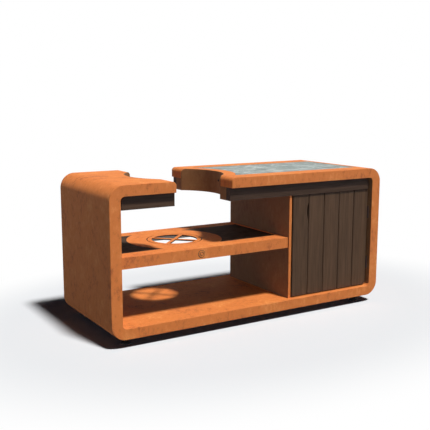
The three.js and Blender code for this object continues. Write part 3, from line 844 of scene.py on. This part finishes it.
@dataclass
class SteelLoop:
    """The rounded loop of hollow steel sections, welded and ground smooth, with a gap in its top.

    The round cut-out bites into the top on both sides of the gap, and a recess in the right slab
    takes the worktop. The shade block is the cabinet's inside, where the wall gets painted shade,
    seen beside the door.
    """

    length: float = 1.915
    depth: float = 0.732
    bottom: float = 0.050
    top: float = 0.895
    section: float = 0.0615
    wall: float = 0.066
    outer_radius: float = 0.088
    outer_steps: int = 20
    inner_radius: float = 0.025
    inner_steps: int = 8
    edge_radius: float = 0.0025
    edge_steps: int = 3
    gap_left: float = -0.5580
    gap_right: float = -0.1970
    end_radius: float = 0.025
    end_steps: int = 8
    end_corner: float = 0.006
    end_corner_steps: int = 6
    cutout_x: float = -0.3775
    bite_radius: float = 0.2993
    bite_steps: int = 96
    recess_floor: float = 0.874
    recess_margin: float = 0.114
    recess_left: float = -0.0980
    recess_rim: float = 0.369
    recess_rim_steps: int = 40
    recess_corner: float = 0.010
    recess_corner_steps: int = 4
    tool_overlap: float = 0.020
    # Block of painted shade: the right wall's inside within the cabinet, seen as the strip beside
    # the door.
    shade_block_left: float = 0.30
    shade_block_low: float = 0.125
    shade_block_high: float = 0.83
    shade_block_lip: float = 0.003

    def finish(self) -> ShadeBlockSteel:
        """Chooses the loop's finish, with painted shade on the wall inside the cabinet and beside
        its door.

        Returns:
            The finish.
        """
        left, right = self.shade_block_left, self.length / 2 - self.wall + self.shade_block_lip
        low, high = self.shade_block_low, self.shade_block_high
        return ShadeBlockSteel(
            name="weathering_steel_loop",
            middle=((left + right) / 2, 0.0, (low + high) / 2),
            reach=((right - left) / 2, self.depth / 2 - self.shade_block_lip, (high - low) / 2),
        )

    def outline(self) -> list[Point2]:
        """Draws the loop's front outline.

        Returns:
            Its corners in X and Z, clockwise from the gap's right side.
        """
        turn = QUARTER_TURN
        outer, inner, end = self.outer_radius, self.inner_radius, self.end_radius
        ceiling, nose = self.top - self.section, self.top - end
        far, near = self.length / 2 - outer, self.length / 2 - self.wall - inner
        high, low = self.top - outer, self.bottom + outer
        inner_high, inner_low = ceiling - inner, self.bottom + self.section + inner
        points = [(self.gap_right, ceiling)]
        points += arc((self.gap_right + end, nose), end, math.pi, turn, self.end_steps)
        points += arc((far, high), outer, turn, 0.0, self.outer_steps)
        points += arc((far, low), outer, 0.0, -turn, self.outer_steps)
        points += arc((-far, low), outer, -turn, -math.pi, self.outer_steps)
        points += arc((-far, high), outer, math.pi, turn, self.outer_steps)
        points += arc((self.gap_left - end, nose), end, turn, 0.0, self.end_steps)
        points += [(self.gap_left, ceiling)]
        points += arc((-near, inner_high), inner, turn, math.pi, self.inner_steps)
        points += arc((-near, inner_low), inner, -math.pi, -turn, self.inner_steps)
        points += arc((near, inner_low), inner, -turn, 0.0, self.inner_steps)
        points += arc((near, inner_high), inner, 0.0, turn, self.inner_steps)
        return points

    def recess_plan(self) -> list[Point2]:
        """Draws the plan of the worktop's recess, whose left side follows the cut-out.

        Returns:
            Its corners in X and Y.
        """
        turn, corner, steps = QUARTER_TURN, self.recess_corner, self.recess_corner_steps
        left = self.recess_left + corner
        right = self.length / 2 - self.recess_margin - corner
        back = self.depth / 2 - self.recess_margin - corner
        reach = math.acos((self.recess_left - self.cutout_x) / self.recess_rim)
        middle = (self.cutout_x, 0.0)
        points = arc(middle, self.recess_rim, -reach, reach, self.recess_rim_steps)
        points += arc((left, back), corner, math.pi, turn, steps)
        points += arc((right, back), corner, turn, 0.0, steps)
        points += arc((right, -back), corner, 0.0, -turn, steps)
        points += arc((left, -back), corner, -turn, -math.pi, steps)
        return points

    def corner_tool(self, x: float, side: int, face: int) -> bpy.types.Object:
        """Makes the tool that rounds one upright corner of the gap.

        Args:
            x: Where the end face is.
            side: 1 if the slab lies to the right of it, or -1.
            face: 1 for the back corner, or -1 for the front one.

        Returns:
            The tool.
        """
        size, past = self.end_corner, self.tool_overlap
        y = face * self.depth / 2
        centre = (x + side * size, y - face * size)
        start = math.atan2(0.0, -side)
        end = math.atan2(face, 0.0)
        if abs(end - start) > math.pi:  # The arc goes the short way round.
            start = -start
        points = arc(centre, size, start, end, self.end_corner_steps)
        points += [(centre[0], y + face * past), (x - side * past, y + face * past)]
        points += [(x - side * past, centre[1])]
        return prism("corner_tool", points, self.top - self.section - past, self.top + past)

    def sweep(self) -> bpy.types.Object:
        """Sweeps the outline from front to back, with rounded edges at both faces.

        Returns:
            The loop before it is cut.
        """
        outline = self.outline()
        rows: list[Point2] = []
        for i in range(self.edge_steps + 1):
            angle = QUARTER_TURN * i / self.edge_steps
            drop = self.edge_radius * (1 - math.cos(angle))
            rows.append((self.edge_radius * (1 - math.sin(angle)), drop - self.depth / 2))
        rows += [(inwards, -y) for inwards, y in reversed(rows)]
        points = [(x, y, z) for inwards, y in rows for x, z in inset(outline, inwards)]
        count, total = len(outline), len(points)
        ends = [list(range(count)), list(range(total - count, total))]
        return new_mesh("steel_loop", points, ends + bands(count, len(rows)))

    def tools(self) -> list[bpy.types.Object]:
        """Makes the tools that cut the bite, the recess and the gap's upright corners.

        Returns:
            The tools, in the order of their use.
        """
        low, high = self.top - self.section - self.tool_overlap, self.top + self.tool_overlap
        bite = circle((self.cutout_x, 0.0), self.bite_radius, self.bite_steps)
        made = [
            prism("bite_tool", bite, low, high),
            prism("recess_tool", self.recess_plan(), self.recess_floor, high),
        ]
        for x, side in ((self.gap_left, -1), (self.gap_right, 1)):
            made += [self.corner_tool(x, side, face) for face in (-1, 1)]
        return made

    def build(self) -> list[bpy.types.Object]:
        """Sweeps, cuts and dresses the loop, in place of the shells of its five sections.

        Returns:
            The loop alone.
        """
        loop = self.sweep()
        cut(loop, self.tools())
        smooth(loop)
        dress(loop, self.finish())
        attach(loop, "table")
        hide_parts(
            "left_wall_shell",
            "right_wall_shell",
            "base_deck_shell",
            "left_slab_shell",
            "right_slab_shell",
        )
        return [loop]


@dataclass
class CutoutTrim:
    """The steel round the cut-out in the top: curved liners, end plates and screws."""

    edge_mm: float = 0.8

    def build(self) -> list[bpy.types.Object]:
        """Dresses the trim on both sides of the gap.

        Returns:
            Its pieces.
        """
        sides, parts = ("left", "right"), ("arc_liner", "front_end_plate", "back_end_plate")
        # The liners and end plates carry painted shade, browner and darker than the open steel.
        plates = {f"{side}_{part}": ShadePaintedSteel() for side in sides for part in parts}
        screws = {f"{side}_liner_screw": BlackenedSteel() for side in sides}
        return dress_nodes(plates, self.edge_mm) + dress_nodes(screws)


@dataclass
class TopRails:
    """Dark timber rails under both slabs, front and back."""

    edge_mm: float = 2.0
    shift_step: float = 3.7
    dark: str = "#3A2B20"
    body: str = "#483528"
    pale: str = "#574130"

    def build(self) -> list[bpy.types.Object]:
        """Dresses each rail with its own stretch of grain.

        Returns:
            The four rails.
        """
        names = [f"{side}_{face}_rail" for side in ("left", "right") for face in ("front", "back")]
        finishes: dict[str, Finish] = {}
        for number, name in enumerate(names):
            finishes[name] = OiledTimber(
                name=f"oiled_rail_{number + 1}",
                grain=Grain.ALONG,
                shift=self.shift_step * number,
                dark=self.dark,
                body=self.body,
                pale=self.pale,
            )
        return dress_nodes(finishes, self.edge_mm)


@dataclass
class Worktop:
    """The stone panel in the right slab and the steel beams under it."""

    edge_mm: float = 1.2

    def build(self) -> list[bpy.types.Object]:
        """Dresses the stone and its beams.

        Returns:
            The three pieces.
        """
        finishes: dict[str, Finish] = {
            "stone_worktop": HonedStone(),
            "worktop_beam_left": PlainSteel(),
            "worktop_beam_right": PlainSteel(),
        }
        return dress_nodes(finishes, self.edge_mm)


@dataclass
class KamadoShelf:
    """The shelf below the cut-out: pan, inlays, support ring and front disc."""

    edge_mm: float = 1.2
    ring_lip: float = 0.0015
    pan_skin: float = 0.0029
    pan_shade_depth: float = 0.5
    disc_radius: float = 0.0225
    disc_steps: int = 64
    disc_height: float = 0.004
    disc_edge: float = 0.0006
    disc_rim: float = 0.0045
    disc_ring: float = 0.0130
    disc_boss: float = 0.0075
    groove_depth: float = 0.003

    def front_disc(self) -> bpy.types.Object:
        """Turns the plain disc on the shelf's front: a ring and a boss that stand on a thin plate.

        Returns:
            The disc, with painted shade wherever the plate shows between the ring and the boss.
        """
        low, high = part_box("front_roundel")
        top, edge = self.disc_height, self.disc_edge
        floor, rim = top - self.groove_depth, self.disc_radius - self.disc_rim
        profile = [
            (0.0, 0.0),
            (self.disc_radius, 0.0),
            (self.disc_radius, floor),
            (rim, floor),
            (rim, top - edge),
            (rim - edge, top),
            (self.disc_ring + edge, top),
            (self.disc_ring, top - edge),
            (self.disc_ring, floor),
            (self.disc_boss, floor),
            (self.disc_boss, top - edge),
            (self.disc_boss - edge, top),
            (0.0, top),
        ]
        place = Matrix.Translation(((low.x + high.x) / 2, high.y, (low.z + high.z) / 2))
        turned = place @ Matrix.Rotation(QUARTER_TURN, 4, "X")
        disc = lathe("front_disc", profile, self.disc_steps, turned)
        smooth(disc)
        dress(disc, WeatheringSteel())
        # Painted shade on the sunk plate.
        disc.data.materials.append(ShadePaintedSteel().build())
        points = disc.data.vertices
        for face in disc.data.polygons:
            sunk = all(high.y - points[i].co.y < floor + edge for i in face.vertices)
            face.material_index = int(sunk)
        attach(disc, "table")
        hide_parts("front_roundel")
        return disc

    def ring_finish(self) -> ShadeBlockSteel:
        """Chooses the support ring's finish: painted deep shade on all but its top, where it stands
        in a groove.

        Returns:
            The finish.
        """
        low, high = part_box("kamado_support_ring")
        middle = (low + high) / 2
        return ShadeBlockSteel(
            name="weathering_steel_ring",
            inner=DeepShadePaintedSteel(),
            middle=(middle.x, middle.y, low.z),
            reach=(high.x - low.x, high.y - low.y, high.z - low.z - self.ring_lip),
        )

    def pan_finish(self) -> ShadeBlockSteel:
        """Chooses the folded pan's finish: painted deep shade inside, within the thickness of its
        sheet.

        Returns:
            The finish.
        """
        low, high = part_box("kamado_shelf")
        middle, half, skin = (low + high) / 2, (high - low) / 2, self.pan_skin
        ceiling = high.z - skin / 2
        return ShadeBlockSteel(
            name="weathering_steel_pan",
            inner=DeepShadePaintedSteel(),
            middle=(middle.x, middle.y, ceiling - self.pan_shade_depth),
            reach=(half.x - skin, half.y - skin, self.pan_shade_depth),
        )

    def build(self) -> list[bpy.types.Object]:
        """Dresses the shelf's pieces and adds the disc.

        Returns:
            All of them.
        """
        finishes: dict[str, Finish] = {
            "kamado_shelf": self.pan_finish(),
            "kamado_support_ring": self.ring_finish(),
            "left_shelf_inlay": DullCeramic(),
            "right_shelf_inlay": DullCeramic(),
            "shelf_beam_front": PlainSteel(),
            "shelf_beam_back": PlainSteel(),
            "kamado_shelf_angle_left": PlainSteel(),
            "kamado_shelf_angle_right": PlainSteel(),
        }
        return [*dress_nodes(finishes, self.edge_mm), self.front_disc()]


@dataclass
class Cabinet:
    """The cabinet's divider, back, shelf and door stop, and the magnet of its catch."""

    edge_mm: float = 0.8
    divider_lip: float = 0.0025
    stop_shift: float = 19.0

    def divider_finish(self) -> ShadeBlockSteel:
        """Chooses the divider's finish: painted shade on its faces, with plain oxide on its edges.

        Returns:
            The finish.
        """
        low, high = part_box("divider_panel")
        middle, half = (low + high) / 2, (high - low) / 2
        return ShadeBlockSteel(
            name="weathering_steel_divider",
            middle=(middle.x, middle.y, middle.z),
            reach=(2 * half.x, half.y - self.divider_lip, 2 * half.z),
        )

    def back_finish(self) -> ShadeBlockSteel:
        """Chooses the back panel's finish: painted shade on the half that faces into the cabinet.

        Returns:
            The finish.
        """
        low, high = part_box("cabinet_back_panel")
        middle, size = (low + high) / 2, high - low
        return ShadeBlockSteel(
            name="weathering_steel_back",
            middle=(middle.x, low.y, middle.z),
            reach=(size.x, size.y / 2, size.z),
        )

    def build(self) -> list[bpy.types.Object]:
        """Dresses the cabinet's pieces.

        Returns:
            All of them.
        """
        finishes: dict[str, Finish] = {
            "divider_panel": self.divider_finish(),
            "cabinet_back_panel": self.back_finish(),
            # The shelf inside the cabinet gets painted shade.
            "cabinet_shelf": ShadePaintedSteel(),
            "cabinet_shelf_angle_left": PlainSteel(),
            "cabinet_shelf_angle_right": PlainSteel(),
            "door_stop": OiledTimber(name="oiled_stop", shift=self.stop_shift),
        }
        magnet: dict[str, Finish] = {"catch_magnet": PlainSteel()}
        return dress_nodes(finishes, self.edge_mm) + dress_nodes(magnet)


@dataclass
class Door:
    """The door of upright planks on ledges, with its hinges and the strike of its catch."""

    planks: int = 5
    plank_edge_mm: float = 1.2
    ledge_edge_mm: float = 1.5
    shift_step: float = 2.3
    first_ledge_step: int = 7

    def build(self) -> list[bpy.types.Object]:
        """Dresses the door, each board with its own grain.

        Returns:
            Its pieces.
        """
        planks: dict[str, Finish] = {}
        for number in range(1, self.planks + 1):
            shift = self.shift_step * number
            finish = OiledTimber(name=f"oiled_plank_{number}", shift=shift)
            planks[f"door_plank_{number}"] = finish
        ledges: dict[str, Finish] = {}
        for step, word in enumerate(("bottom", "middle", "top"), self.first_ledge_step):
            shift = self.shift_step * step
            finish = OiledTimber(name=f"oiled_ledge_{word}", grain=Grain.ALONG, shift=shift)
            ledges[f"door_ledge_{word}"] = finish
        metal: dict[str, Finish] = {"catch_strike": BlackenedSteel()}
        # The hinges get painted deep shade, so that they sink into the shaded strip beside the
        # door.
        for word in ("bottom", "top"):
            for part in ("wall_leaf", "door_leaf", "pin"):
                metal[f"hinge_{part}_{word}"] = DeepShadePaintedSteel()
        made = dress_nodes(planks, self.plank_edge_mm)
        made += dress_nodes(ledges, self.ledge_edge_mm)
        return made + dress_nodes(metal)


@dataclass
class Feet:
    """Four steel feet with rubber pads."""

    edge_mm: float = 0.8

    def build(self) -> list[bpy.types.Object]:
        """Dresses the feet.

        Returns:
            Their posts and pads.
        """
        finishes: dict[str, Finish] = {}
        for place in ("front_left", "front_right", "back_left", "back_right"):
            # The posts are near black, painted shade that hides them in the shadow under the table.
            finishes[f"foot_post_{place}"] = BlackenedSteel()
            finishes[f"foot_pad_{place}"] = MouldedRubber()
        return dress_nodes(finishes, self.edge_mm)


@dataclass
class Studio:
    """White floor, plain light and the camera at the photograph's view.

    In degrees, yaw is clockwise from the back, pitch is down, and roll turns the picture
    clockwise. The glow is a band of light at the horizon, which gains glow_front times its
    strength towards the front. The floor is matt up to floor_near from the table's middle and
    plain white from floor_far on, both told along Y, and floor_squeeze makes the two rims oval.
    """

    eye: Point3 = (-2.4350, -3.8039, 1.3558)
    yaw: float = 31.6856
    pitch: float = 9.3610
    roll: float = 0.1088
    lens_mm: float = 60.48
    sensor_mm: float = 36.0
    view_end: float = 200.0
    sun_way: Point3 = (0.120, -0.497, 1.0)
    sun_strength: float = 3.44
    sun_degrees: float = 7.5
    glow_colour: str = "#BED6FF"
    glow_strength: float = 3.9
    glow_front: float = 1.7
    glow_falloff: float = 30.0
    floor_size: float = 60.0
    floor_colour: str = "#ECEEF0"
    floor_squeeze: float = 0.72
    floor_near: float = 0.95
    floor_far: float = 1.65
    floor_bounce_colour: str = "#1E1E1E"

    def camera(self) -> None:
        """Stands the camera where the photograph was taken from."""
        yaw, pitch, roll = (math.radians(v) for v in (self.yaw, self.pitch, self.roll))
        ahead = Vector(
            (math.sin(yaw) * math.cos(pitch), math.cos(yaw) * math.cos(pitch), -math.sin(pitch))
        )
        level = Vector((math.cos(yaw), -math.sin(yaw), 0.0))
        upright = level.cross(ahead)
        right = level * math.cos(roll) + upright * math.sin(roll)
        up = upright * math.cos(roll) - level * math.sin(roll)
        data = bpy.data.cameras.new("camera")
        data.lens = self.lens_mm
        data.sensor_width = self.sensor_mm
        data.clip_end = self.view_end
        obj = bpy.data.objects.new("camera", data)
        turn = Matrix((right, up, -ahead)).transposed().to_4x4()
        obj.matrix_world = Matrix.Translation(self.eye) @ turn
        bpy.context.scene.collection.objects.link(obj)
        bpy.context.scene.camera = obj

    def key_light(self) -> None:
        """Sets the one lamp, a soft sun from above and in front."""
        sun = bpy.data.lights.new("key", "SUN")
        sun.energy = self.sun_strength
        sun.angle = math.radians(self.sun_degrees)
        key = bpy.data.objects.new("key", sun)
        key.rotation_mode = "QUATERNION"
        key.rotation_quaternion = Vector(self.sun_way).to_track_quat("Z", "Y")
        bpy.context.scene.collection.objects.link(key)

    def seen_directly(self, tree: Tree) -> Socket:
        """Tells rays that see the background from rays that only carry its light.

        Args:
            tree: Tree that gets the nodes.

        Returns:
            1 for rays from the camera, from gloss and through glass, or else 0.
        """
        path = add_node(tree, "ShaderNodeLightPath").outputs
        first = add_node(
            tree,
            "ShaderNodeMath",
            {0: path["Is Camera Ray"], 1: path["Is Glossy Ray"]},
            operation="MAXIMUM",
        )
        both = add_node(
            tree,
            "ShaderNodeMath",
            {0: first.outputs[0], 1: path["Is Transmission Ray"]},
            operation="MAXIMUM",
        )
        return both.outputs[0]

    def world(self) -> None:
        """Shows a white background, and lights the shade from a bright band at the horizon."""
        world = bpy.data.worlds.new("studio")
        world.use_nodes = True
        tree = world.node_tree
        tree.nodes.clear()
        white = add_node(tree, "ShaderNodeBackground", {"Color": linear(WHITE), "Strength": 1.0})
        way = add_node(tree, "ShaderNodeTexCoord").outputs["Generated"]
        axes = add_node(tree, "ShaderNodeSeparateXYZ", {"Vector": way}).outputs
        ahead = add_node(
            tree,
            "ShaderNodeMapRange",
            {
                "Value": axes["Y"],
                "From Min": -1.0,
                "From Max": 0.0,
                "To Min": self.glow_front,
                "To Max": 0.0,
            },
        )
        boost = add_node(tree, "ShaderNodeMath", {0: ahead.outputs[0], 1: 1.0}, operation="ADD")
        steep = add_node(tree, "ShaderNodeMath", {0: axes["Z"]}, operation="ABSOLUTE")
        low = add_node(tree, "ShaderNodeMath", {0: 1.0, 1: steep.outputs[0]}, operation="SUBTRACT")
        band = add_node(
            tree, "ShaderNodeMath", {0: low.outputs[0], 1: self.glow_falloff}, operation="POWER"
        )
        even = add_node(
            tree,
            "ShaderNodeMath",
            {0: band.outputs[0], 1: self.glow_strength},
            operation="MULTIPLY",
        )
        glow = add_node(
            tree, "ShaderNodeMath", {0: even.outputs[0], 1: boost.outputs[0]}, operation="MULTIPLY"
        )
        fill = add_node(
            tree,
            "ShaderNodeBackground",
            {"Color": linear(self.glow_colour), "Strength": glow.outputs[0]},
        )
        mixed = add_node(
            tree,
            "ShaderNodeMixShader",
            {0: self.seen_directly(tree), 1: fill.outputs[0], 2: white.outputs[0]},
        )
        add_node(tree, "ShaderNodeOutputWorld", {"Surface": mixed.outputs[0]})
        bpy.context.scene.world = world

    def floor(self) -> None:
        """Lays a pale matt floor, which throws little light back and ends in plain white."""
        half = self.floor_size / 2
        corners = [(-half, -half, 0.0), (half, -half, 0.0), (half, half, 0.0), (-half, half, 0.0)]
        floor = new_mesh("floor", corners, [[0, 1, 2, 3]])
        material = bpy.data.materials.new("pale_floor")
        material.use_nodes = True
        tree = material.node_tree
        tree.nodes.clear()
        place = add_node(tree, "ShaderNodeTexCoord").outputs["Object"]
        oval = add_node(
            tree, "ShaderNodeMapping", {"Vector": place, "Scale": (self.floor_squeeze, 1.0, 1.0)}
        )
        away = add_node(tree, "ShaderNodeVectorMath", {0: oval.outputs[0]}, operation="LENGTH")
        far = add_node(
            tree,
            "ShaderNodeMapRange",
            {
                "Value": away.outputs["Value"],
                "From Min": self.floor_near,
                "From Max": self.floor_far,
            },
            interpolation_type="SMOOTHSTEP",
        )
        near = add_node(tree, "ShaderNodeBsdfDiffuse", {"Color": linear(self.floor_colour)})
        white = add_node(tree, "ShaderNodeEmission", {"Color": linear(WHITE), "Strength": 1.0})
        pale = add_node(
            tree,
            "ShaderNodeMixShader",
            {0: far.outputs["Result"], 1: near.outputs[0], 2: white.outputs[0]},
        )
        quiet = add_node(tree, "ShaderNodeBsdfDiffuse", {"Color": linear(self.floor_bounce_colour)})
        mixed = add_node(
            tree,
            "ShaderNodeMixShader",
            {0: self.seen_directly(tree), 1: quiet.outputs[0], 2: pale.outputs[0]},
        )
        add_node(tree, "ShaderNodeOutputMaterial", {"Surface": mixed.outputs[0]})
        floor.data.materials.append(material)

    def build(self) -> None:
        """Sets the camera, the lamp, the world and the floor."""
        self.camera()
        self.key_light()
        self.world()
        self.floor()
        bpy.context.scene.view_settings.view_transform = "Standard"


def main() -> None:
    """Builds the table piece by piece, then the studio round it."""
    logging.basicConfig(level=logging.INFO, format="%(name)s: %(message)s")
    parts = (
        SteelLoop(),
        CutoutTrim(),
        TopRails(),
        Worktop(),
        KamadoShelf(),
        Cabinet(),
        Door(),
        Feet(),
    )
    for part in parts:
        for piece in part.build():
            log.info("%s: %s, %d faces", type(part).__name__, piece.name, len(piece.data.polygons))
    Studio().build()


if __name__ == "__main__":
    main()
